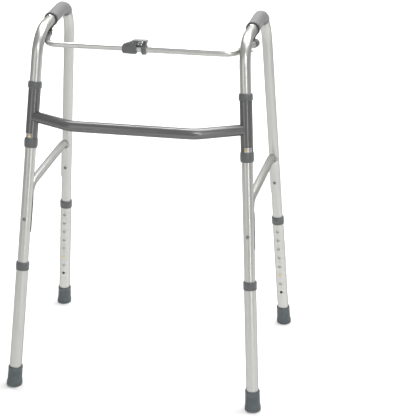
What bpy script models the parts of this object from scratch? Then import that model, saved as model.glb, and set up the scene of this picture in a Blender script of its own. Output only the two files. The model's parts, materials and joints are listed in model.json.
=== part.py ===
# Folding walking frame: two tubular side frames hinged to a front brace, with a telescoping upper bar.
# Metres, +Z up, +Y towards the user's side, floor at z = 0, left is -X.
import math

import bpy
import bmesh
from mathutils import Vector

# Side frame plane: X = side * (PLANE_X + PLANE_Y * y - PLANE_Z * z)
PLANE_X = 0.3014
PLANE_Y = 0.0305
PLANE_Z = 0.07345
FRONT_FOOT_Y = -0.2235
FRONT_SLOPE = 0.18535
REAR_FOOT_Y = 0.2238
REAR_SLOPE = -0.0348
HANDLE_Z = 0.84443
HANDLE_SLOPE = 0.06817
FRONT_BEND = 0.0686
REAR_BEND = 0.0801

# Tube sizes (radii)
LEG_R = 0.0127
LEG_BORE = 0.0115
EXT_R = 0.0143
EXT_BORE = 0.01318
SLEEVE_R = 0.0143
SLEEVE_BORE = 0.01318
BRACE_R = 0.0127
STRUT_R = 0.0100
THICK_R = 0.00795
THICK_BORE = 0.0070
THIN_R = 0.00635
GAP = 0.0003

# Distances along a leg from the floor
TIP_TOP = 0.0465
EXT_BOTTOM = 0.012
LEG_END = 0.105
FERRULE_TOP = 0.3119
FERRULE_H = 0.020
HOLE_TOP = 0.2737
HOLE_PITCH = 0.0254
HOLE_COUNT = 8
BUTTON_AT = HOLE_TOP - 5 * HOLE_PITCH
HOLE_R = 0.0037
COLLAR_FROM = 0.5895
COLLAR_TO = 0.6122
SLEEVE_FROM = 0.6126
SLEEVE_TO = 0.7281
NOTCH_H = 0.0105
BUSH_TO = 0.7446
STOP_AT = 0.6178

# Brace, struts and upper bar
BRACE_Z = 0.6505
BRACE_Y = -0.1571
BRACE_BEND_X = 0.144
STRUT_Z = 0.4865
STRUT_FRONT_END = 0.377
STRUT_REAR_END = 0.382
STRUT_RIVET_Z = 0.410
STRUT_WALL = 0.0012
SADDLE_R = 0.0147
SADDLE_OFFSET = 0.0152
BAR_Z = 0.8139
BAR_Y = -0.069
BAR_CORNER_X = {-1: 0.2190, 1: 0.2165}
BAR_BEND = {-1: 0.033, 1: 0.036}
BAR_END = (0.2478, 0.0341)
BAR_PIN_Y = 0.0045
LEFT_FOLD_DEG = 93.0
RIGHT_FOLD_DEG = 71.0
SEG = 18


def clear_scene():
    for obj in list(bpy.data.objects):
        bpy.data.objects.remove(obj)


def make_material(name, colour, metallic, roughness):
    mat = bpy.data.materials.new(name)
    mat.use_nodes = True
    shader = mat.node_tree.nodes["Principled BSDF"]
    shader.inputs["Base Color"].default_value = (*colour, 1.0)
    shader.inputs["Metallic"].default_value = metallic
    shader.inputs["Roughness"].default_value = roughness
    mat.diffuse_color = (*colour, 1.0)
    return mat


FINISH = {
    "aluminium": ((0.62, 0.62, 0.60), 0.9, 0.35),
    "powder": ((0.13, 0.13, 0.13), 0.1, 0.35),
    "plastic": ((0.12, 0.13, 0.13), 0.0, 0.5),
    "rubber": ((0.10, 0.12, 0.12), 0.0, 0.8),
    "grip": ((0.28, 0.28, 0.29), 0.0, 0.7),
    "brass": ((0.60, 0.47, 0.24), 0.9, 0.35),
    "steel": ((0.55, 0.55, 0.54), 1.0, 0.3),
}


def finish_object(name, mesh, kind, origin):
    """Makes the outward-facing body an object with its own material and origin."""
    bm = bmesh.new()
    bm.from_mesh(mesh)
    bmesh.ops.recalc_face_normals(bm, faces=bm.faces)
    bm.to_mesh(mesh)
    bm.free()
    offset = Vector(origin)
    for vert in mesh.vertices:
        vert.co -= offset
    obj = bpy.data.objects.new(name, mesh)
    obj.location = offset
    bpy.context.scene.collection.objects.link(obj)
    colour, metallic, roughness = FINISH[kind]
    mesh.materials.append(make_material(name, colour, metallic, roughness))
    mesh.shade_smooth()
    mesh.set_sharp_from_angle(angle=math.radians(32))
    return obj


def build(name, verts, faces, kind, origin):
    mesh = bpy.data.meshes.new(name)
    mesh.from_pydata([tuple(v) for v in verts], [], faces)
    return finish_object(name, mesh, kind, origin)


def cut(obj, verts, faces, operation="DIFFERENCE"):
    """Takes a cutter body, given in world coordinates, from the object."""
    mesh = bpy.data.meshes.new("cutter")
    mesh.from_pydata([tuple(v) for v in verts], [], faces)
    bm = bmesh.new()
    bm.from_mesh(mesh)
    bmesh.ops.recalc_face_normals(bm, faces=bm.faces)
    bm.to_mesh(mesh)
    bm.free()
    cutter = bpy.data.objects.new("cutter", mesh)
    cutter.hide_render = True
    cutter.display_type = "WIRE"
    bpy.context.scene.collection.objects.link(cutter)
    mod = obj.modifiers.new("cut", "BOOLEAN")
    mod.operation = operation
    mod.solver = "EXACT"
    mod.object = cutter
    bpy.context.view_layer.update()
    with bpy.context.temp_override(object=obj, active_object=obj):
        bpy.ops.object.modifier_apply(modifier=mod.name)
    bpy.data.objects.remove(cutter)
    obj.data.shade_smooth()
    obj.data.set_sharp_from_angle(angle=math.radians(32))


def ring_faces(rings, segs, closed):
    """Quads between successive rings of equal count."""
    faces = []
    pairs = len(rings) if closed else len(rings) - 1
    for k in range(pairs):
        a = rings[k]
        b = rings[(k + 1) % len(rings)]
        for i in range(segs):
            j = (i + 1) % segs
            faces.append((a + i, a + j, b + j, b + i))
    return faces


def cross_axes(direction, hint):
    side = direction.cross(hint).normalized()
    return side.cross(direction).normalized(), side


def lathe(base, axis, profile, segs, closed=True, hint=(0.0, 1.0, 0.0), on_floor=False):
    """Turns a profile of (distance, radius) about an axis; an open profile ends on the axis."""
    axis = Vector(axis).normalized()
    u, v = cross_axes(axis, Vector(hint))
    verts = []
    rings = []
    faces = []
    poles = []
    for d, r in profile:
        centre = Vector(base) + axis * d
        if r < 1e-9:
            poles.append(len(verts))
            verts.append(centre)
            continue
        rings.append(len(verts))
        for i in range(segs):
            a = 2.0 * math.pi * i / segs
            point = centre + (u * math.cos(a) + v * math.sin(a)) * r
            if on_floor and d < 1e-6:
                point -= axis * (point.z / axis.z)
            verts.append(point)
    faces = ring_faces(rings, segs, closed)
    if not closed:
        for pole, ring in ((poles[0], rings[0]), (poles[-1], rings[-1])):
            for i in range(segs):
                faces.append((pole, ring + i, ring + (i + 1) % segs))
    return verts, faces


def cap_body(base, axis, profile):
    """A cup turned from an outline that meets the axis at its outer and its inner end."""
    outer = [item for item in profile if item[1] > 0.0]
    first = next(k for k, item in enumerate(profile) if item[1] == 0.0)
    ordered = [profile[first + 1]] + outer[first:] + outer[:first] + [profile[first]]
    return lathe(base, axis, ordered, 14, closed=False, hint=(0.0, 0.0, 1.0))


def rod(start, end, radius, segs=12):
    axis = Vector(end) - Vector(start)
    length = axis.length
    profile = [(0.0, 0.0), (0.0, radius), (length, radius), (length, 0.0)]
    hint = (0.0, 1.0, 0.0) if abs(axis.normalized().y) < 0.9 else (1.0, 0.0, 0.0)
    return lathe(start, axis, profile, segs, closed=False, hint=hint)


def merge(parts):
    verts = []
    faces = []
    for part_verts, part_faces in parts:
        base = len(verts)
        verts.extend(part_verts)
        faces.extend(tuple(base + i for i in face) for face in part_faces)
    return verts, faces


def rounded_path(corners, radii, steps):
    """Polyline through the corners with each inner corner rounded to its radius."""
    points = [corners[0]]
    for k in range(1, len(corners) - 1):
        here = corners[k]
        back = (corners[k - 1] - here).normalized()
        ahead = (corners[k + 1] - here).normalized()
        turn = math.pi - back.angle(ahead)
        radius = radii[k - 1]
        reach = radius * math.tan(turn / 2.0)
        start = here + back * reach
        centre = here + (back + ahead).normalized() * (radius / math.cos(turn / 2.0))
        first = (start - centre).normalized()
        for i in range(steps + 1):
            a = turn * i / steps
            points.append(centre + (first * math.cos(a) - back * math.sin(a)) * radius)
    points.append(corners[-1])
    return points


def lengths(points):
    total = [0.0]
    for a, b in zip(points, points[1:]):
        total.append(total[-1] + (b - a).length)
    return total


def stretch(points, start, end):
    """The part of a polyline between two distances along it."""
    total = lengths(points)
    out = []
    for k in range(len(points) - 1):
        for mark in (start, end):
            if total[k] <= mark < total[k + 1]:
                share = (mark - total[k]) / (total[k + 1] - total[k])
                out.append((mark, points[k].lerp(points[k + 1], share)))
        if start < total[k + 1] < end:
            out.append((total[k + 1], points[k + 1]))
    out.sort(key=lambda item: item[0])
    return [point for _, point in out]


def saddle(cos_a, sin_a, half, spread, side):
    """A point on a flattened tube wall that is cupped round a leg."""
    radius = SADDLE_R + half * cos_a * side
    angle = math.radians(spread) * sin_a
    return side * (radius * math.cos(angle) - SADDLE_OFFSET), radius * math.sin(angle)


def sweep(points, sections, segs, normal, cupped=None, side=1):
    """Hollow tube along a path; each section gives outer and inner half-sizes (a, b, ai, bi)."""
    outer = []
    inner = []
    verts = []
    for k, point in enumerate(points):
        before = points[max(k - 1, 0)]
        after = points[min(k + 1, len(points) - 1)]
        tangent = (after - before).normalized()
        if 0 < k < len(points) - 1:
            tangent = ((point - before).normalized() + (after - point).normalized()).normalized()
        u, v = cross_axes(tangent, normal)
        a, b, ai, bi = sections[k]
        for ring, ra, rb, half, spread in ((outer, a, b, 0.0014, 62.0), (inner, ai, bi, 0.0005, 54.0)):
            ring.append(len(verts))
            for i in range(segs):
                ang = 2.0 * math.pi * i / segs
                x = ra * math.cos(ang)
                y = rb * math.sin(ang)
                if cupped:
                    cup_x, cup_y = saddle(math.cos(ang), math.sin(ang), half, spread, side)
                    x += (cup_x - x) * cupped[k]
                    y += (cup_y - y) * cupped[k]
                verts.append(point + v * x + u * y)
    return verts, ring_faces(outer + inner[::-1], segs, True)


def round_sections(points, radius, bore):
    return [(radius, radius, bore, bore)] * len(points)


def ribbon(points, thick, width_dir, width):
    """A bent strip: a centre line thickened both ways and given a width."""
    count = len(points)
    low = []
    high = []
    for k, point in enumerate(points):
        ahead = (points[min(k + 1, count - 1)] - points[max(k, 0)])
        behind = (point - points[max(k - 1, 0)])
        normals = [width_dir.cross(d.normalized()) for d in (behind, ahead) if d.length > 1e-9]
        total = Vector((0.0, 0.0, 0.0))
        for n in normals:
            total += n
        mitre = total.normalized()
        scale = thick / 2.0 / mitre.dot(normals[0])
        low.append(point - mitre * scale)
        high.append(point + mitre * scale)
    outline = low + high[::-1]
    return prism(outline, width_dir, width)


def prism(outline, direction, width):
    """An outline given a thickness, half each way."""
    step = direction.normalized() * (width / 2.0)
    count = len(outline)
    verts = [p - step for p in outline] + [p + step for p in outline]
    faces = [tuple(range(count)), tuple(range(2 * count - 1, count - 1, -1))]
    for i in range(count):
        j = (i + 1) % count
        faces.append((i, j, count + j, count + i))
    return verts, faces


def plane_point(side, y, z):
    return Vector((side * (PLANE_X + PLANE_Y * y - PLANE_Z * z), y, z))


def leg_line(side, leg):
    """Floor point, upward direction and the direction towards the other leg."""
    foot_y, slope = (FRONT_FOOT_Y, FRONT_SLOPE) if leg == "front" else (REAR_FOOT_Y, REAR_SLOPE)
    foot = plane_point(side, foot_y, 0.0)
    up = (plane_point(side, foot_y + slope, 1.0) - foot).normalized()
    outward = Vector((side, -PLANE_Y, PLANE_Z)).normalized()
    across = up.cross(outward).normalized()
    if (across.y > 0.0) != (leg == "front"):
        across = -across
    return foot, up, across


def side_path(side):
    front_foot, front_up, _ = leg_line(side, "front")
    rear_foot, rear_up, _ = leg_line(side, "rear")
    z1 = (HANDLE_Z + HANDLE_SLOPE * FRONT_FOOT_Y) / (1.0 - HANDLE_SLOPE * FRONT_SLOPE)
    z2 = (HANDLE_Z + HANDLE_SLOPE * REAR_FOOT_Y) / (1.0 - HANDLE_SLOPE * REAR_SLOPE)
    corners = [
        front_foot + front_up * LEG_END,
        plane_point(side, FRONT_FOOT_Y + FRONT_SLOPE * z1, z1),
        plane_point(side, REAR_FOOT_Y + REAR_SLOPE * z2, z2),
        rear_foot + rear_up * LEG_END,
    ]
    return rounded_path(corners, [FRONT_BEND, REAR_BEND], 7)


def handle_point(side, y):
    return plane_point(side, y, HANDLE_Z + HANDLE_SLOPE * y)


def bar_point(side, y):
    """A point on the short end piece of the upper bar."""
    share = (y - BAR_Y) / (BAR_END[1] - BAR_Y)
    x = BAR_CORNER_X[side] + (BAR_END[0] - BAR_CORNER_X[side]) * share
    return Vector((side * x, y, BAR_Z))


def button_side(side, leg):
    foot, up, across = leg_line(side, leg)
    return foot + up * BUTTON_AT, across


def make_side(side, word):
    foot, up, across = leg_line(side, "front")
    rear_foot, rear_up, rear_across = leg_line(side, "rear")
    outward = Vector((side, -PLANE_Y, PLANE_Z)).normalized()
    path = side_path(side)
    front_rivet = foot + up * (STRUT_RIVET_Z / up.z)
    rear_rivet = rear_foot + rear_up * (STRUT_RIVET_Z / rear_up.z)
    hang = handle_point(side, 0.0205)
    ahead = (handle_point(side, 0.1) - handle_point(side, 0.0)).normalized()
    down = ahead.cross(outward).normalized()
    if down.z > 0.0:
        down = -down
    stop = foot + up * STOP_AT

    # Side tube: both legs and the handle in one bent tube, drilled for rivets, stop pin and buttons
    tube = build(f"{word}_side_tube", *sweep(path, round_sections(path, LEG_R, LEG_BORE), SEG, outward),
                 "aluminium", foot)
    holes = [
        rod(front_rivet - across * 0.02, front_rivet + across * 0.02, 0.0026, 8),
        rod(rear_rivet - rear_across * 0.02, rear_rivet + rear_across * 0.02, 0.0026, 8),
        rod(hang - down * 0.02, hang + down * 0.02, 0.0026, 8),
        rod(stop - across * 0.005, stop - across * 0.02, 0.0033, 10),
    ]
    for leg in ("front", "rear"):
        centre, towards = button_side(side, leg)
        holes.append(rod(centre + towards * 0.005, centre + towards * 0.02, HOLE_R, 12))
    cut(tube, *merge(holes))

    # Strut: a tube whose bent-down ends are pressed flat and cupped round the legs
    offset = SADDLE_OFFSET
    low_front = foot + up * (STRUT_FRONT_END / up.z) + across * offset
    low_rear = rear_foot + rear_up * (STRUT_REAR_END / rear_up.z) + rear_across * offset
    top_front = foot + up * (STRUT_Z / up.z) + across * offset
    top_rear = rear_foot + rear_up * (STRUT_Z / rear_up.z) + rear_across * offset
    line = rounded_path([low_front, top_front, top_rear, low_rear], [0.034, 0.030], 5)
    first = stretch(line, 0.0, 0.055)
    total = lengths(line)[-1]
    last = stretch(line, total - 0.050, total - 0.0001)
    middle = stretch(line, 0.055, total - 0.050)
    line = first[:1] + middle + last[-1:]
    cupped = []
    for mark in lengths(line):
        near = min(mark - 0.084, total - 0.080 - mark)
        share = min(max(near / 0.030, 0.0), 1.0)
        cupped.append(1.0 - share * share * (3.0 - 2.0 * share))
    sections = round_sections(line, STRUT_R, STRUT_R - STRUT_WALL)
    strut = build(f"{word}_strut", *sweep(line, sections, 16, outward, cupped, side), "aluminium", foot)
    cut(strut, *merge([
        rod(front_rivet + across * 0.0125, front_rivet + across * 0.02, 0.0026, 8),
        rod(rear_rivet + rear_across * 0.0125, rear_rivet + rear_across * 0.02, 0.0026, 8),
    ]))

    # Rivets through leg and strut, headed at both ends
    for label, centre, towards in (("front", front_rivet, across), ("rear", rear_rivet, rear_across)):
        near = SADDLE_R + 0.0016
        far = LEG_R + 0.0002
        profile = [
            (-far - 0.0020, 0.0), (-far - 0.0016, 0.0026), (-far, 0.0044), (-far, 0.0022),
            (near, 0.0022), (near, 0.0044), (near + 0.0016, 0.0026), (near + 0.0020, 0.0),
        ]
        build(f"{word}_strut_{label}_rivet", *lathe(centre, towards, profile, 10, closed=False,
              hint=outward), "aluminium", centre)

    # Hand grip over the handle and half of the rear bend, with a small rim at its front end
    start = (handle_point(side, 0.0302) - path[8]).length + lengths(path)[8]
    cover = stretch(path, start, start + 0.1340)
    rim = stretch(path, start + 0.0045, start + 0.0052)
    cover = cover[:1] + rim[:2] + cover[1:]
    sizes = [(0.0168, 0.0168, EXT_BORE, EXT_BORE)] * 2 + round_sections(cover[2:], 0.0158, EXT_BORE)
    grip = sweep(cover, sizes, SEG, outward)
    build(f"{word}_hand_grip", *grip, "grip", foot)

    # Collar that carries the sleeve, fixed to the leg
    ring = [
        (COLLAR_FROM, EXT_BORE), (COLLAR_FROM, 0.0150), (COLLAR_FROM + 0.005, 0.0160),
        (COLLAR_TO - 0.005, 0.0160), (COLLAR_TO, 0.0152), (COLLAR_TO, EXT_BORE),
    ]
    build(f"{word}_support_collar", *lathe(foot, up, ring, SEG, hint=outward), "plastic", foot)

    # Stop pin that turns inside the sleeve's notch
    pin = [(0.0100, 0.0), (0.0100, 0.0030), (0.0166, 0.0030), (0.0172, 0.0022), (0.0172, 0.0)]
    build(f"{word}_stop_pin", *lathe(stop, -across, pin, 10, closed=False, hint=outward), "brass", stop)

    # Hanger strap under the handle, its ear lying over the end of the upper bar
    pivot = bar_point(side, BAR_PIN_Y)
    under = LEG_R + GAP + 0.0013
    strap = [
        pivot + up * 0.0119 - across * 0.0095,
        pivot + up * 0.0119 + across * 0.0050,
        handle_point(side, 0.0105) + down * under,
        handle_point(side, 0.0285) + down * under,
    ]
    bracket = build(f"{word}_bar_bracket", *ribbon(strap, 0.0026, outward, 0.0170), "powder", foot)
    cut(bracket, *rod(hang + down * 0.0125, hang + down * 0.02, 0.0026, 8))
    reach = LEG_R + GAP + 0.0026 + 0.0007
    rivet = [
        (-LEG_R - 0.0020, 0.0), (-LEG_R - 0.0016, 0.0026), (-LEG_R - 0.0002, 0.0044),
        (-LEG_R - 0.0002, 0.0022), (reach, 0.0022), (reach, 0.0044), (reach + 0.0018, 0.0026),
        (reach + 0.0022, 0.0),
    ]
    build(f"{word}_bracket_rivet", *lathe(hang, down, rivet, 10, closed=False, hint=outward), "steel", hang)


def make_leg(side, word, leg):
    foot, up, across = leg_line(side, leg)
    outward = Vector((side, -PLANE_Y, PLANE_Z)).normalized()
    name = f"{word}_{leg}"

    # Extension tube with a row of adjustment holes
    ext_top = FERRULE_TOP - 0.0125
    ring = [(EXT_BOTTOM, EXT_BORE), (EXT_BOTTOM, EXT_R), (ext_top, EXT_R), (ext_top, EXT_BORE)]
    tube = build(f"{name}_extension_tube", *lathe(foot, up, ring, SEG, hint=outward), "aluminium", foot)
    holes = []
    for k in range(HOLE_COUNT):
        centre = foot + up * (HOLE_TOP - k * HOLE_PITCH)
        holes.append(rod(centre + across * 0.008, centre + across * 0.02, HOLE_R, 8))
    cut(tube, *merge(holes))

    # Ferrule on the mouth of the extension tube
    low = FERRULE_TOP - FERRULE_H
    step = ext_top + GAP
    ring = [
        (low, 0.01485), (low, 0.0155), (low + 0.002, 0.0159), (FERRULE_TOP - 0.003, 0.0159),
        (FERRULE_TOP, 0.0149), (FERRULE_TOP, EXT_BORE), (step, EXT_BORE), (step, 0.01485),
    ]
    build(f"{name}_ferrule", *lathe(foot, up, ring, SEG, hint=outward), "plastic", foot)

    # Rubber tip: a cup with a flared foot cut flat on the floor
    cup = [
        (0.0, 0.0), (0.0, 0.0190), (0.0100, 0.0192), (0.0150, 0.0178), (0.0380, 0.0169),
        (0.0400, 0.0173), (TIP_TOP - 0.001, 0.0173), (TIP_TOP, 0.0166), (TIP_TOP, 0.01485),
        (EXT_BOTTOM - GAP, 0.01485), (EXT_BOTTOM - GAP, 0.0),
    ]
    tip = lathe(foot, up, cup, SEG, closed=False, hint=outward, on_floor=True)
    build(f"{name}_rubber_tip", *tip, "rubber", foot)

    # Snap button through the leg wall and one hole, and the leaf spring behind it
    centre = foot + up * BUTTON_AT
    button = [
        (0.0088, 0.0), (0.0088, 0.0048), (0.0102, 0.0048), (0.0102, 0.0033), (0.0150, 0.0033),
        (0.0158, 0.0022), (0.0160, 0.0),
    ]
    build(f"{name}_snap_button", *lathe(centre, across, button, 12, closed=False, hint=outward),
          "brass", centre)
    leaf = [
        centre + across * 0.0082 - up * 0.006,
        centre + across * 0.0082 + up * 0.008,
        centre + across * 0.0030 + up * 0.040,
        centre - across * 0.0030 + up * 0.044,
        centre - across * 0.0085 + up * 0.040,
        centre - across * 0.0085 - up * 0.006,
    ]
    build(f"{name}_button_spring", *ribbon(leaf, 0.0006, outward, 0.0070), "steel", centre)


def make_brace():
    # Brace tube between the sleeves, coped to fit round them
    ends = []
    for side in (-1, 1):
        z = BRACE_Z
        ends.append(plane_point(side, FRONT_FOOT_Y + FRONT_SLOPE * z, z))
    corners = [ends[0], Vector((-BRACE_BEND_X, BRACE_Y, BRACE_Z)), Vector((BRACE_BEND_X, BRACE_Y, BRACE_Z)),
               ends[1]]
    path = rounded_path(corners, [0.06, 0.06], 4)
    tube = build("brace_tube", *sweep(path, round_sections(path, BRACE_R, LEG_BORE), SEG,
                 Vector((0.0, 0.0, 1.0))), "powder", (0.0, BRACE_Y, BRACE_Z))
    cutters = []
    for side in (-1, 1):
        foot, up, _ = leg_line(side, "front")
        cutters.append(rod(foot + up * 0.55, foot + up * 0.78, SLEEVE_R + GAP, 32))
    cut(tube, *merge(cutters))
    for side, word, fold in ((-1, "left", LEFT_FOLD_DEG), (1, "right", RIGHT_FOLD_DEG)):
        foot, up, across = leg_line(side, "front")
        outward = Vector((side, -PLANE_Y, PLANE_Z)).normalized()
        ring = [
            (SLEEVE_FROM, SLEEVE_BORE), (SLEEVE_FROM, SLEEVE_R), (SLEEVE_TO, SLEEVE_R),
            (SLEEVE_TO, SLEEVE_BORE),
        ]
        sleeve = build(f"{word}_pivot_sleeve", *lathe(foot, up, ring, 24, hint=outward), "powder", foot)
        # Notch in the sleeve's lower rim, from the front round to the outer side
        centre = foot + up * (SLEEVE_FROM - 0.004)
        margin = math.radians(19.0)
        sweep_angle = math.radians(fold)
        arc = [centre + up * 0.0]
        steps = 6
        start = -margin
        for i in range(steps + 1):
            a = start + (sweep_angle + 2.0 * margin) * i / steps
            arc.append(centre + (-across * math.cos(a) + outward * math.sin(a)) * 0.030)
        depth = NOTCH_H + 0.004
        arc = [p + up * (depth / 2.0) for p in arc]
        cut(sleeve, *prism(arc, up, depth))
        bush = [
            (SLEEVE_TO + GAP, SLEEVE_BORE), (SLEEVE_TO + GAP, 0.0156), (SLEEVE_TO + 0.003, 0.0163),
            (BUSH_TO - 0.003, 0.0163), (BUSH_TO, 0.0150), (BUSH_TO, SLEEVE_BORE),
        ]
        build(f"{word}_top_bush", *lathe(foot, up, bush, SEG, hint=outward), "plastic", foot)


def bar_path(side, inner_x):
    corners = [
        Vector((inner_x, BAR_Y, BAR_Z)),
        Vector((side * BAR_CORNER_X[side], BAR_Y, BAR_Z)),
        Vector((side * BAR_END[0], BAR_END[1], BAR_Z)),
    ]
    return rounded_path(corners, [BAR_BEND[side]], 5)


def make_bar():
    vertical = Vector((0.0, 0.0, 1.0))
    along = Vector((1.0, 0.0, 0.0))
    across = Vector((0.0, 1.0, 0.0))
    halves = (
        (1, "right", "bar_outer_tube", -0.030, THICK_R, THICK_BORE),
        (-1, "left", "bar_inner_tube", 0.035, THIN_R, 0.0052),
    )
    for side, word, name, inner_x, radius, bore in halves:
        _, up, _ = leg_line(side, "front")
        pivot = bar_point(side, BAR_PIN_Y)
        path = bar_path(side, inner_x)
        tube = build(name, *sweep(path, round_sections(path, radius, bore), 14, vertical), "aluminium", pivot)
        holes = [rod(pivot - up * 0.02, pivot + up * 0.02, 0.0029, 8)]
        if side > 0:
            # Hole the lock pin drops through
            window = Vector((-0.001, BAR_Y, BAR_Z + 0.004))
            holes.append(rod(window, window + vertical * 0.008, 0.0021, 8))
        cut(tube, *merge(holes))
        # Pivot pin with a wide lower cap
        bolt = [
            (-0.0138, 0.0), (-0.0134, 0.0060), (-0.0105, 0.0068), (-0.0102, 0.0026), (0.0101, 0.0026),
            (0.0101, 0.0),
        ]
        build(f"{word}_bracket_pin", *lathe(pivot, up, bolt, 12, closed=False), "powder", pivot)
        # Domed cap over the end of the bar
        end = path[-1]
        way = (path[-1] - path[-2]).normalized()
        inside = radius + GAP
        cap = [
            (-0.0140, inside), (-0.0140, radius + 0.0012), (-0.0125, radius + 0.0018), (0.0, radius + 0.0018),
            (0.0020, radius * 0.9), (0.0034, radius * 0.45), (0.0038, 0.0), (GAP, 0.0), (GAP, inside),
        ]
        build(f"{word}_bar_cap", *cap_body(end, way, cap), "plastic", end)

    # Latch housing on the mouth of the outer tube, with a slot on top for the lever
    axis = Vector((0.0, BAR_Y, BAR_Z))
    stations = (
        (-0.0400, 0.0092, -0.0080, 0.0040, 0.0082, 0.0050),
        (-0.0375, 0.0112, -0.0102, 0.0056, 0.0104, 0.0062),
        (-0.0095, 0.0115, -0.0108, 0.0122, 0.0203, 0.0088),
        (-0.0070, 0.0108, -0.0100, 0.0120, 0.0200, 0.0086),
    )
    verts = []
    for x, half, low, shoulder, crown, flat in stations:
        middle = (low + shoulder) / 2.0
        for y, z in ((-half + 0.003, low), (half - 0.003, low), (half, low + 0.003), (half, middle),
                     (half - 0.0006, shoulder), (flat, crown), (-flat, crown), (-half + 0.0006, shoulder),
                     (-half, middle), (-half, low + 0.003)):
            verts.append(axis + along * x + across * y + vertical * z)
    faces = ring_faces([0, 10, 20, 30], 10, False)
    faces.append(tuple(range(10)))
    faces.append(tuple(range(30, 40)))
    housing = build("latch_housing", verts, faces, "plastic", axis)
    bore = [
        (-0.045, 0.0), (-0.045, THIN_R + 0.0006), (-0.0303, THIN_R + 0.0006), (-0.0303, THICK_R + 0.0006),
        (0.0, THICK_R + 0.0006), (0.0, 0.0),
    ]
    cut(housing, *lathe(axis, along, bore, 20, closed=False))
    slot = [
        axis + along * x + vertical * z
        for x, z in ((-0.0192, 0.0122), (-0.004, 0.0122), (-0.004, 0.030), (-0.0192, 0.030))
    ]
    cut(housing, *prism(slot, across, 0.0152))
    hinge = axis + along * -0.014 + vertical * 0.0172
    cut(housing, *rod(hinge - across * 0.010, hinge + across * 0.010, 0.0015, 8))

    # Collar beside the housing, with a lug the lever's hook passes over
    collar_ring = [(0.0050, THICK_R + 0.0005), (0.0050, 0.0124), (0.0060, 0.0132), (0.0135, 0.0132),
                   (0.0145, 0.0124), (0.0145, THICK_R + 0.0005)]
    collar = build("bar_collar", *lathe(axis, along, collar_ring, SEG), "plastic", axis)
    lug = [
        axis + along * x + vertical * z
        for x, z in ((0.0064, 0.0110), (0.0132, 0.0110), (0.0126, 0.0168), (0.0072, 0.0168))
    ]
    cut(collar, *prism(lug, across, 0.0100), "UNION")

    # Lever: a channel with windowed cheeks, hinged in the housing and hooked over the collar's lug
    profile = [
        axis + along * x + vertical * z
        for x, z in ((-0.0172, 0.0146), (-0.0066, 0.0146), (-0.0062, 0.0098), (0.0030, 0.0098),
                     (0.0034, 0.0190), (0.0150, 0.0190), (0.0160, 0.0140), (0.0176, 0.0140),
                     (0.0172, 0.0198), (0.0155, 0.0206), (-0.0150, 0.0203), (-0.0172, 0.0190))
    ]
    lever = build("latch_lever", *prism(profile, across, 0.0145), "steel", hinge)
    channel = [
        axis + along * x + vertical * z
        for x, z in ((-0.0200, 0.0080), (0.0024, 0.0080), (0.0024, 0.0188), (-0.0200, 0.0188))
    ]
    cut(lever, *prism(channel, across, 0.0117))
    window = [
        axis + along * x + vertical * z
        for x, z in ((-0.0048, 0.0118), (0.0014, 0.0118), (0.0014, 0.0176), (-0.0048, 0.0176))
    ]
    cut(lever, *prism(window, across, 0.0200))
    cut(lever, *rod(hinge - across * 0.012, hinge + across * 0.012, 0.0015, 8))
    pin = rod(hinge - across * 0.0094, hinge + across * 0.0094, 0.0012, 8)
    build("lever_pivot_pin", *pin, "steel", hinge)

    # Leaf spring on the slot's floor, and the lock pin that drops through the outer tube
    leaf = [
        axis + along * -0.0188 + vertical * 0.0126,
        axis + along * -0.0090 + vertical * 0.0126,
        axis + along * -0.0076 + vertical * 0.0160,
    ]
    build("latch_spring", *ribbon(leaf, 0.0005, across, 0.0080), "steel", hinge)
    lock = [(0.0068, 0.0), (0.0068, 0.0017), (0.0120, 0.0017), (0.0120, 0.0032), (0.0142, 0.0032),
            (0.0142, 0.0)]
    build("lock_pin", *lathe(axis + along * -0.001, vertical, lock, 10, closed=False), "steel", axis)


clear_scene()
make_brace()
for side_sign, side_word in ((-1, "left"), (1, "right")):
    make_side(side_sign, side_word)
    for leg_word in ("front", "rear"):
        make_leg(side_sign, side_word, leg_word)
make_bar()
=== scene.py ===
import json
import math

import bpy
import bmesh
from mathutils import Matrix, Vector


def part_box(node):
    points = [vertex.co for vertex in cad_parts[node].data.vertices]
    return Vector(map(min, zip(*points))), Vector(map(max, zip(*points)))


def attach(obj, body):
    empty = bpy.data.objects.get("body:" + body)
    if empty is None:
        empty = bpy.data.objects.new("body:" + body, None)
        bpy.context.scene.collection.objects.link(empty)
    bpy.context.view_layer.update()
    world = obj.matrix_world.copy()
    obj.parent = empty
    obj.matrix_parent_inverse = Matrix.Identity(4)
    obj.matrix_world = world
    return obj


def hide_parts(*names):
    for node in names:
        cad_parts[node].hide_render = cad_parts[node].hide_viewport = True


# Looks for the folding walking frame. Metres, +Z up, +Y towards the user's side, floor at z = 0, left is -X.
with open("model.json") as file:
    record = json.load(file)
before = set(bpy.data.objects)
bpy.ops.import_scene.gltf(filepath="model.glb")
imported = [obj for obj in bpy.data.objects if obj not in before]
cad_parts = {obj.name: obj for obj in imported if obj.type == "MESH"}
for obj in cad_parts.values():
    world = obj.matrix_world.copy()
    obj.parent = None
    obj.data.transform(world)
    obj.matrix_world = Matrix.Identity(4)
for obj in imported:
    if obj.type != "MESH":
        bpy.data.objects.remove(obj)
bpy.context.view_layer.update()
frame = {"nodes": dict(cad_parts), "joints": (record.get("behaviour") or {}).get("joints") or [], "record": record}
record = frame["record"]
nodes = frame["nodes"]
joints = {j["name"]: j for j in frame["joints"]}
mounts = {m["name"]: m for m in record["mounts"]}
body_of_node = {n: b for b, members in record["behaviour"]["bodies"].items() for n in members}
slot_of = {s["node"]: s["material_slot"] for s in record["subparts"]}
WORDS = ("left", "right")
LEGS = ("front", "rear")


# ---------- materials ----------
NOISE_LOW = 0.3
NOISE_HIGH = 0.7
NOISE_ROUGHNESS = 0.55
FINE_DETAIL = 2.0
METAL_SLOTS = ("aluminium_tube", "aluminium_rivet", "bright_steel", "dark_powder_coat")
METAL_EDGE_TINT = (0.24, 0.24, 0.23, 1.0)


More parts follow.
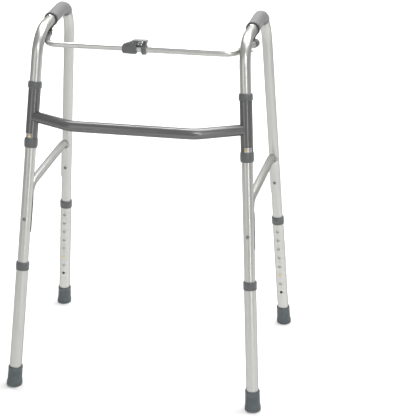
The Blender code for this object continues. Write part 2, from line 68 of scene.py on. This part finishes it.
class Shader:
    """A node material with its pattern in the object's own coordinates."""

    def __init__(self, name):
        self.mat = bpy.data.materials.new(name)
        self.mat.use_nodes = True
        self.tree = self.mat.node_tree
        self.bsdf = self.tree.nodes["Principled BSDF"]
        self.coord = self.tree.nodes.new("ShaderNodeTexCoord").outputs["Object"]

    def link(self, a, b):
        self.tree.links.new(a, b)

    def scaled(self, scale):
        node = self.tree.nodes.new("ShaderNodeMapping")
        node.inputs["Scale"].default_value = scale
        self.link(self.coord, node.inputs["Vector"])
        return node.outputs["Vector"]

    def noise(self, scale, detail=4.0, stretch=(1.0, 1.0, 1.0)):
        node = self.tree.nodes.new("ShaderNodeTexNoise")
        node.inputs["Scale"].default_value = scale
        node.inputs["Detail"].default_value = detail
        node.inputs["Roughness"].default_value = NOISE_ROUGHNESS
        self.link(self.scaled(stretch), node.inputs["Vector"])
        return node.outputs["Fac"]

    def ramp(self, fac, stops):
        """A colour ramp between two (place, colour) stops."""
        node = self.tree.nodes.new("ShaderNodeValToRGB")
        for element, (place, colour) in zip(node.color_ramp.elements, stops):
            element.position = place
            element.color = (*colour, 1.0)
        self.link(fac, node.inputs["Fac"])
        return node.outputs["Color"]

    def mapped(self, fac, source, target):
        """A value moved from one (low, high) range to another."""
        node = self.tree.nodes.new("ShaderNodeMapRange")
        node.inputs["From Min"].default_value, node.inputs["From Max"].default_value = source
        node.inputs["To Min"].default_value, node.inputs["To Max"].default_value = target
        self.link(fac, node.inputs["Value"])
        return node.outputs["Result"]

    def bump(self, fac, strength, distance):
        node = self.tree.nodes.new("ShaderNodeBump")
        node.inputs["Strength"].default_value = strength
        node.inputs["Distance"].default_value = distance
        self.link(fac, node.inputs["Height"])
        self.link(node.outputs["Normal"], self.bsdf.inputs["Normal"])


def tinted(colour, share):
    return tuple(c * share for c in colour)


def make(name, colour, metallic, rough, spread=0.04, contrast=0.08, grain=60.0, stretch=(1.0, 1.0, 1.0),
         bump=0.1, depth=0.0002, fine=900.0):
    """A surface whose colour and roughness vary with one cloud of noise, over a finer bump."""
    shader = Shader(name)
    cloud = shader.noise(grain, stretch=stretch)
    shades = [(NOISE_LOW, tinted(colour, 1.0 - contrast)), (NOISE_HIGH, tinted(colour, 1.0 + contrast))]
    shader.link(shader.ramp(cloud, shades), shader.bsdf.inputs["Base Color"])
    shader.bsdf.inputs["Metallic"].default_value = metallic
    roughness = shader.mapped(cloud, (NOISE_LOW, NOISE_HIGH), (rough - spread, rough + spread))
    shader.link(roughness, shader.bsdf.inputs["Roughness"])
    shader.bump(shader.noise(fine, detail=FINE_DETAIL), bump, depth)
    return shader.mat


MATS = {
    "aluminium_tube": make("satin_aluminium", colour=(0.525, 0.525, 0.508), metallic=0.96, rough=0.33,
                           spread=0.025, contrast=0.025, grain=30.0, stretch=(5.0, 5.0, 0.5),
                           bump=0.02, depth=0.00003, fine=500.0),
    # The rivets' aluminium is coloured far darker than the tube's, as painted shade for the shadow round each
    # rivet.
    "aluminium_rivet": make("rivet_painted_shade", colour=(0.20, 0.20, 0.195), metallic=0.85, rough=0.40,
                            grain=300.0, bump=0.03, depth=0.00005),
    "dark_powder_coat": make("powder_coat", colour=(0.150, 0.151, 0.150), metallic=0.6, rough=0.24,
                             spread=0.015, contrast=0.03, grain=40.0, bump=0.01, depth=0.00003, fine=600.0),
    "dark_plastic": make("moulded_plastic", colour=(0.096, 0.101, 0.101), metallic=0.0, rough=0.42,
                         grain=120.0, bump=0.08, depth=0.0001),
    "tip_rubber": make("tip_rubber", colour=(0.080, 0.094, 0.10), metallic=0.0, rough=0.55, contrast=0.1,
                       grain=100.0, bump=0.12, depth=0.0001),
    "grip_vinyl": make("grip_vinyl", colour=(0.098, 0.098, 0.102), metallic=0.0, rough=0.5, contrast=0.06,
                       grain=120.0, bump=0.12, depth=0.0001),
    "brass_pin": make("turned_brass", colour=(0.70, 0.52, 0.25), metallic=0.95, rough=0.3, grain=400.0),
    "bright_steel": make("zinc_steel", colour=(0.50, 0.50, 0.49), metallic=0.95, rough=0.26, contrast=0.12,
                         grain=250.0),
}
# Near-black metal for the rims inside the leg holes: painted shade where the holes fall dark.
HOLE_PAINTED_SHADE = make("hole_rim_painted_shade", colour=(0.09, 0.09, 0.088), metallic=0.5, rough=0.5, grain=400.0,
                    bump=0.03, depth=0.00005)
LEVER_STEEL = make("lever_steel", colour=(0.15, 0.15, 0.148), metallic=0.75, rough=0.34, contrast=0.12,
                   grain=250.0, bump=0.03, depth=0.00005)
for slot_name in METAL_SLOTS:
    bsdf = MATS[slot_name].node_tree.nodes["Principled BSDF"]
    bsdf.inputs["Specular Tint"].default_value = METAL_EDGE_TINT
for name, obj in nodes.items():
    obj.data.materials.clear()
    obj.data.materials.append(LEVER_STEEL if name == "latch_lever" else MATS[slot_of[name]])


# ---------- shapes ----------
RING = 48
PIECE_CREASE = math.radians(35.0)


def piece(name, verts, faces, body, slot, replaced=(), material=None):
    mesh = bpy.data.meshes.new(name)
    mesh.from_pydata([tuple(v) for v in verts], [], faces)
    bm = bmesh.new()
    bm.from_mesh(mesh)
    bmesh.ops.recalc_face_normals(bm, faces=bm.faces)
    bm.to_mesh(mesh)
    bm.free()
    mesh.shade_smooth()
    mesh.set_sharp_from_angle(angle=PIECE_CREASE)
    mesh.materials.append(material or MATS[slot])
    obj = bpy.data.objects.new(name, mesh)
    bpy.context.scene.collection.objects.link(obj)
    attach(obj, body)
    if replaced:
        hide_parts(*replaced)


def axes_for(direction):
    side = direction.cross(Vector((0.0, 1.0, 0.0))).normalized()
    return side.cross(direction).normalized(), side


def lathe(base, axis, profile, on_floor=False, segs=RING):
    """Turns (distance along the axis, radius) points into a closed body.

    A profile that ends on the axis at both ends is closed there, and any other joins its last point to its
    first. With on_floor, a point that is lower than its distance along the axis slides up the axis to that
    height, which keeps a tilted leg's sole flat on the floor.
    """
    axis = axis.normalized()
    u, v = axes_for(axis)
    verts = []
    faces = []
    rings = []
    poles = []
    for d, r in profile:
        centre = base + axis * d
        if r == 0.0:
            poles.append(len(verts))
            verts.append(centre)
            continue
        rings.append(len(verts))
        for i in range(segs):
            a = 2.0 * math.pi * i / segs
            point = centre + (u * math.cos(a) + v * math.sin(a)) * r
            if on_floor and point.z < d:
                point = point + axis * ((d - point.z) / axis.z)
            verts.append(point)
    for k in range(len(rings) - 1 if poles else len(rings)):
        a = rings[k]
        b = rings[(k + 1) % len(rings)]
        for i in range(segs):
            j = (i + 1) % segs
            faces.append((a + i, a + j, b + j, b + i))
    if poles:
        for pole, ring in ((poles[0], rings[0]), (poles[-1], rings[-1])):
            for i in range(segs):
                faces.append((pole, ring + i, ring + (i + 1) % segs))
    return verts, faces


def leg_axis(word, leg):
    """Floor point and upward direction of a leg, from the record."""
    foot = Vector(mounts[f"{word}_{leg}_foot"]["pos_m"])
    up = -Vector(joints[f"{word}_{leg}_leg_slide"]["axis"]).normalized()
    return foot, up


def along(node, base, up):
    """Lowest and highest distance of a CAD node along a leg."""
    marks = [(v.co - base).dot(up) for v in nodes[node].data.vertices]
    return min(marks), max(marks)


def outline(low, high, low_end, high_end):
    """Profile from two lists of (distance in from that end, radius)."""
    return [(low + d, r) for d, r in low_end] + [(high - d, r) for d, r in high_end]


# ---------- rubber tips ----------
TIP_SOLE = ((0.0, 0.0), (0.0, 0.0186), (0.0008, 0.0190), (0.0045, 0.0191), (0.0052, 0.0186),
            (0.0060, 0.0190), (0.0095, 0.0189), (0.0120, 0.0181), (0.0160, 0.0176))
TIP_SHOULDER = ((0.0385, 0.0171), (0.0395, 0.0174))
TIP_BORE_R = 0.01455
TIP_BORE_FLOOR = 0.0117
TIP_MOUTH = ((0.0016, 0.0174), (0.0005, 0.0171), (0.0, 0.0165), (0.0, 0.0151), (0.0008, TIP_BORE_R))
GROOVES = 4
GROOVE_FROM = 0.0185
GROOVE_STEP = 0.0045
GROOVE_WALL_R = 0.0175
GROOVE_DEPTH = 0.0005
GROOVE_TAPER = 0.0001
GROOVE_BOTTOM = (0.0006, 0.0016)
GROOVE_WIDTH = 0.0022


def rubber_tip(word, leg):
    node = f"{word}_{leg}_rubber_tip"
    foot, up = leg_axis(word, leg)
    top = along(node, foot, up)[1]
    profile = list(TIP_SOLE)
    for k in range(GROOVES):
        low = GROOVE_FROM + GROOVE_STEP * k
        wall = GROOVE_WALL_R - GROOVE_TAPER * k
        profile.append((low, wall))
        profile += [(low + d, wall - GROOVE_DEPTH) for d in GROOVE_BOTTOM]
        profile.append((low + GROOVE_WIDTH, wall))
    profile += outline(0.0, top, TIP_SHOULDER, TIP_MOUTH)
    profile += [(TIP_BORE_FLOOR, TIP_BORE_R), (TIP_BORE_FLOOR, 0.0)]
    piece(f"{word}_{leg}_tip_detail", *lathe(foot, up, profile, on_floor=True), f"{word}_{leg}_leg",
          "tip_rubber", [node])


# ---------- ferrules, collars and bushes ----------
LEG_FIT_R = 0.0132
EXTENSION_FIT_R = 0.01485
FERRULE_STEP = 0.008
FERRULE_LOW = ((0.0, EXTENSION_FIT_R), (0.0, 0.0152), (0.0006, 0.0156), (0.0030, 0.0159), (0.0034, 0.0157),
               (0.0038, 0.0159))
FERRULE_HIGH = ((0.0030, 0.0159), (0.0012, 0.0155), (0.0003, 0.0146), (0.0, 0.0138), (0.0, LEG_FIT_R))
COLLAR_LOW = ((0.0, LEG_FIT_R), (0.0, 0.0145), (0.0012, 0.0152), (0.0050, 0.0159), (0.0090, 0.0160))
COLLAR_HIGH = ((0.0060, 0.0159), (0.0015, 0.0154), (0.0, 0.0148), (0.0, LEG_FIT_R))
BUSH_LOW = ((0.0, LEG_FIT_R), (0.0, 0.0154), (0.0008, 0.0160), (0.0030, 0.0163))
BUSH_HIGH = ((0.0050, 0.0162), (0.0018, 0.0156), (0.0004, 0.0146), (0.0, 0.0138), (0.0, LEG_FIT_R))


def ferrule(word, leg):
    node = f"{word}_{leg}_ferrule"
    foot, up = leg_axis(word, leg)
    low, high = along(node, foot, up)
    profile = outline(low, high, FERRULE_LOW, FERRULE_HIGH)
    profile += [(low + FERRULE_STEP, LEG_FIT_R), (low + FERRULE_STEP, EXTENSION_FIT_R)]
    piece(f"{word}_{leg}_ferrule_detail", *lathe(foot, up, profile), f"{word}_{leg}_leg", "dark_plastic",
          [node])


def leg_ring(name, word, node, body, low_end, high_end):
    """A plastic ring round a front leg, between the ends of the CAD node that it replaces."""
    foot, up = leg_axis(word, "front")
    profile = outline(*along(node, foot, up), low_end, high_end)
    piece(name, *lathe(foot, up, profile), body, "dark_plastic", [node])


for word in WORDS:
    for leg in LEGS:
        rubber_tip(word, leg)
        ferrule(word, leg)
    leg_ring(f"{word}_collar_detail", word, f"{word}_support_collar", f"{word}_side", COLLAR_LOW, COLLAR_HIGH)
    leg_ring(f"{word}_bush_detail", word, f"{word}_top_bush", "brace", BUSH_LOW, BUSH_HIGH)


# ---------- painted shade rims in the holes down the legs ---
HOLE_PITCH = 0.0254
HOLE_COUNT = 8
HOLES_BELOW_BUTTON = 2
RIM_RING = 16
RIM_BORE_R = 0.00348
RIM_R = 0.00366
RIM_INNER = 0.01325
RIM_OUTER = 0.01420


def hole_painted_shade_rims(word, leg):
    """Near-black rims lining a leg's holes, as painted shade in the holes, all but the one that the snap button
    fills.
    """
    node = f"{word}_{leg}_snap_button"
    foot, up = leg_axis(word, leg)
    press = Vector(joints[f"{word}_{leg}_button_press"]["axis"]).normalized()
    low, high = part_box(node)
    button = (Vector(low) + Vector(high)) / 2.0 - foot
    at = sum(along(node, foot, up)) / 2.0
    outward = -press if press.dot(button - up * at) < 0.0 else press
    profile = [(RIM_INNER, RIM_BORE_R), (RIM_INNER, RIM_R), (RIM_OUTER, RIM_R), (RIM_OUTER, RIM_BORE_R)]
    verts = []
    faces = []
    for k in range(-HOLES_BELOW_BUTTON, HOLE_COUNT - HOLES_BELOW_BUTTON):
        if k == 0:
            continue
        more, quads = lathe(foot + up * (at + HOLE_PITCH * k), outward, profile, segs=RIM_RING)
        faces += [tuple(i + len(verts) for i in quad) for quad in quads]
        verts += more
    piece(f"{word}_{leg}_drilled_rims", verts, faces, f"{word}_{leg}_leg", "aluminium_tube",
          material=HOLE_PAINTED_SHADE)


for word in WORDS:
    for leg in LEGS:
        hole_painted_shade_rims(word, leg)


# ---------- welded, smoothly shaded bodies ----------
WELD = 0.00001
COPY_CREASE = math.radians(34.0)
ROLLED_ANGLE = math.radians(50.0)
ROLLED_EDGES = {"left_hand_grip": 0.0011, "right_hand_grip": 0.0011, "latch_housing": 0.0007,
                "bar_collar": 0.0006}
REBUILT = ("rubber_tip", "ferrule", "support_collar", "top_bush")


def smoothed(node, radius):
    """The CAD node as one welded skin, with its sharp edges rolled over when the radius isn't zero."""
    source = nodes[node]
    mesh = source.data.copy()
    mesh.transform(source.matrix_world)
    if "custom_normal" in mesh.attributes:
        mesh.attributes.remove(mesh.attributes["custom_normal"])
    bm = bmesh.new()
    bm.from_mesh(mesh)
    bmesh.ops.remove_doubles(bm, verts=bm.verts, dist=WELD)
    for edge in bm.edges:
        edge.smooth = True
    if radius > 0.0:
        sharp = [e for e in bm.edges if len(e.link_faces) == 2 and e.calc_face_angle(0.0) > ROLLED_ANGLE]
        bmesh.ops.bevel(bm, geom=sharp, offset=radius, segments=2, profile=0.5, affect="EDGES",
                        clamp_overlap=True)
    bm.to_mesh(mesh)
    bm.free()
    mesh.shade_smooth()
    mesh.set_sharp_from_angle(angle=COPY_CREASE)
    obj = bpy.data.objects.new(f"{node}_detail", mesh)
    bpy.context.scene.collection.objects.link(obj)
    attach(obj, body_of_node[node])
    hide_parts(node)


flexing = {d["node"] for j in frame["joints"] for d in j.get("deforming_nodes", ())}
for node in sorted(nodes):
    if node not in flexing and not node.endswith(REBUILT):
        smoothed(node, ROLLED_EDGES.get(node, 0.0))


# ---------- floor, light and camera ----------
FLOOR_REACH = 9.0
FLOOR_BACK = 3.0
SWEEP_R = 2.5
SWEEP_STEPS = 12
# Painted shade on the floor: its grey near the frame, and the distances over which that shade fades out.
FLOOR_PAINTED_SHADE_GREY = (0.66, 0.66, 0.657)
FLOOR_FAR_GREY = (0.97, 0.97, 0.965)
FLOOR_PAINTED_SHADE_FADE = (1.2, 4.5)
FLOOR_ROUGHNESS = 0.8
FLOOR_GRAIN = 60.0
WORLD_STRENGTH = 0.45
CAMERA_PLACE = (0.6451, -2.5750, 1.5084)
CAMERA_DOWN = 0.39851
CAMERA_TURN = 0.19632
CAMERA_LENS = 104.0
CAMERA_SENSOR = 36.0


def studio_floor():
    """A floor that sweeps up into a back wall, with painted shade: a little darker under the frame than away from
    it.
    """
    profile = [(-FLOOR_REACH, 0.0), (FLOOR_BACK, 0.0)]
    for i in range(1, SWEEP_STEPS + 1):
        a = math.pi / 2.0 * i / SWEEP_STEPS
        profile.append((FLOOR_BACK + SWEEP_R * math.sin(a), SWEEP_R - SWEEP_R * math.cos(a)))
    profile.append((FLOOR_BACK + SWEEP_R, FLOOR_REACH))
    verts = [(x, y, z) for y, z in profile for x in (-FLOOR_REACH, FLOOR_REACH)]
    faces = [(2 * k, 2 * k + 1, 2 * k + 3, 2 * k + 2) for k in range(len(profile) - 1)]
    mesh = bpy.data.meshes.new("studio_floor")
    mesh.from_pydata(verts, [], faces)
    mesh.shade_smooth()
    obj = bpy.data.objects.new("studio_floor", mesh)
    bpy.context.scene.collection.objects.link(obj)
    shader = Shader("studio_floor")
    reach = shader.tree.nodes.new("ShaderNodeVectorMath")
    reach.operation = "LENGTH"
    shader.link(shader.coord, reach.inputs[0])
    # Painted shade: the floor's grey darkens towards the frame, from the far grey out past the fade to the shade
    # grey near it.
    away = shader.mapped(reach.outputs["Value"], FLOOR_PAINTED_SHADE_FADE, (0.0, 1.0))
    shader.link(shader.ramp(away, [(0.0, FLOOR_PAINTED_SHADE_GREY), (1.0, FLOOR_FAR_GREY)]),
                shader.bsdf.inputs["Base Color"])
    shader.bsdf.inputs["Roughness"].default_value = FLOOR_ROUGHNESS
    shader.bump(shader.noise(FLOOR_GRAIN, detail=FINE_DETAIL), strength=0.02, distance=0.0005)
    mesh.materials.append(shader.mat)


def area(name, place, target, size, energy):
    light = bpy.data.lights.new(name, "AREA")
    light.shape = "RECTANGLE"
    light.size, light.size_y = size
    light.energy = energy
    obj = bpy.data.objects.new(name, light)
    obj.location = place
    obj.rotation_euler = (Vector(target) - Vector(place)).to_track_quat("-Z", "Y").to_euler()
    bpy.context.scene.collection.objects.link(obj)


def studio_world():
    world = bpy.data.worlds.new("studio")
    world.use_nodes = True
    background = world.node_tree.nodes["Background"]
    background.inputs["Color"].default_value = (1.0, 1.0, 1.0, 1.0)
    background.inputs["Strength"].default_value = WORLD_STRENGTH
    bpy.context.scene.world = world
    bpy.context.scene.view_settings.view_transform = "Standard"


def photo_camera():
    camera = bpy.data.cameras.new("camera")
    camera.lens = CAMERA_LENS
    camera.sensor_width = CAMERA_SENSOR
    camera.sensor_fit = "HORIZONTAL"
    obj = bpy.data.objects.new("camera", camera)
    obj.location = CAMERA_PLACE
    obj.rotation_euler = (math.pi / 2.0 - CAMERA_DOWN, 0.0, CAMERA_TURN)
    bpy.context.scene.collection.objects.link(obj)
    bpy.context.scene.camera = obj


studio_floor()
area("key_light", place=(1.2, -2.9, 2.9), target=(0.0, 0.0, 0.5), size=(1.2, 1.2), energy=30.0)
area("tall_strip", place=(1.75, -2.65, 1.35), target=(0.0, 0.0, 0.9), size=(0.45, 2.6), energy=17.0)
area("left_fill", place=(-1.5, -2.9, 1.4), target=(0.0, 0.0, 0.7), size=(1.6, 2.2), energy=12.0)
area("top_strip", place=(0.1, 0.95, 3.0), target=(0.0, -0.1, 0.6), size=(3.4, 0.5), energy=88.0)
area("top_light", place=(0.8, 1.3, 3.4), target=(0.4, 0.8, 0.0), size=(3.4, 3.4), energy=112.0)
area("back_light", place=(-1.2, 3.0, 3.2), target=(-1.6, 5.0, 1.0), size=(2.8, 1.8), energy=90.0)
studio_world()
photo_camera()
